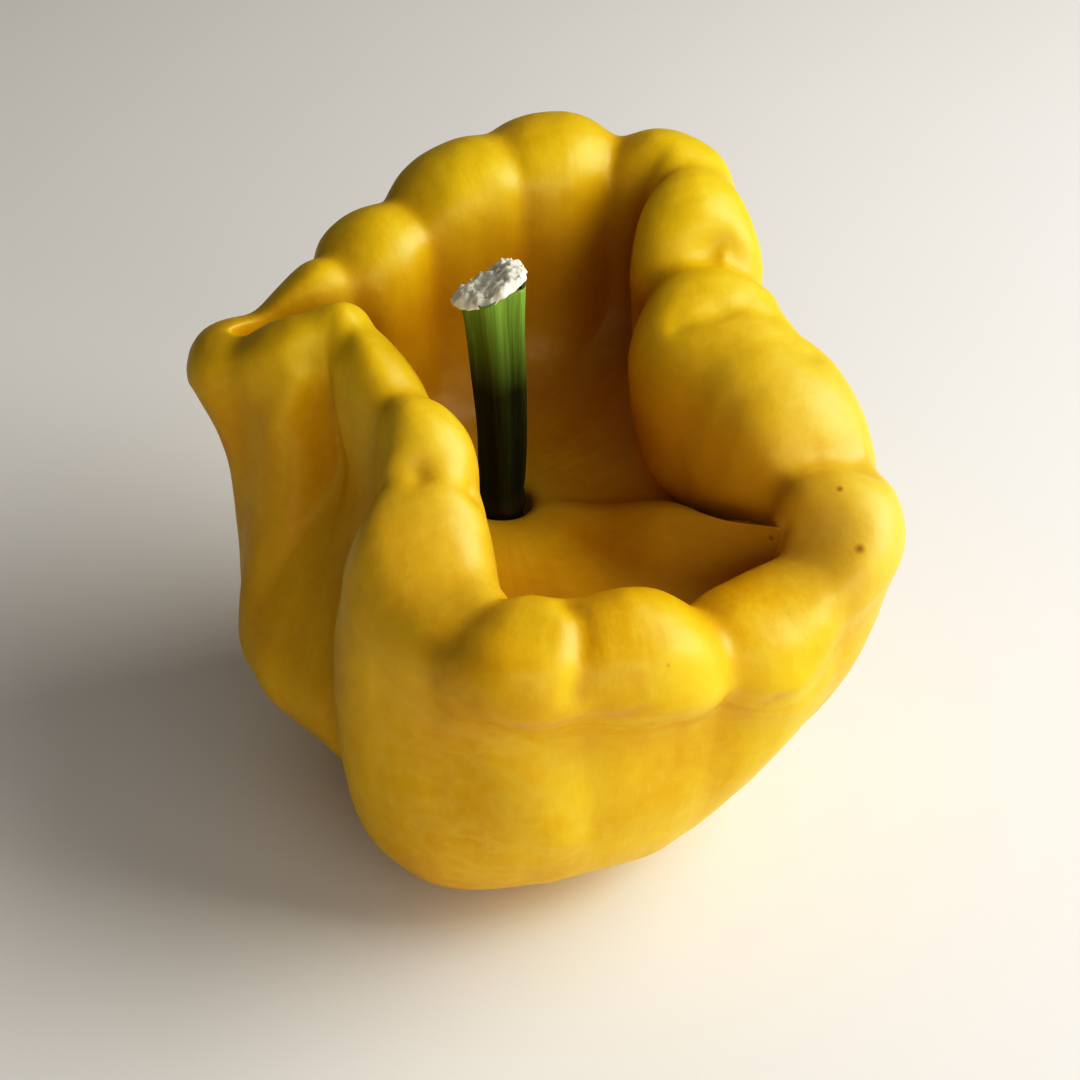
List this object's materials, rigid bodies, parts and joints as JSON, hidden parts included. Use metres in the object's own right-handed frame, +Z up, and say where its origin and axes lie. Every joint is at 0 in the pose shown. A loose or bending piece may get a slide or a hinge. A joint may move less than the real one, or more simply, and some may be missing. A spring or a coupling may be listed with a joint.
{
  "type": "pattypan squash",
  "caption": "Whole golden pattypan squash grown into a deep cup: a thick scalloped rim curls up round the hollow where the cut green stalk stands.",
  "frame": {"origin": "middle of the flat that the fruit rests on, under its blossom end", "axes": "+Z up, -Y towards the low front of the rim, +X towards the right-hand side of the rim as seen from the front"},
  "size_m": [0.1479, 0.1524, 0.1227],
  "materials": {
    "skin": "smooth waxy golden skin",
    "stalk": "ridged green stalk with a pale fibrous cut"
  },
  "bodies": {
    "root": {"squash_fruit": "skin", "stem": "stalk"}
  },
  "joints": []
}
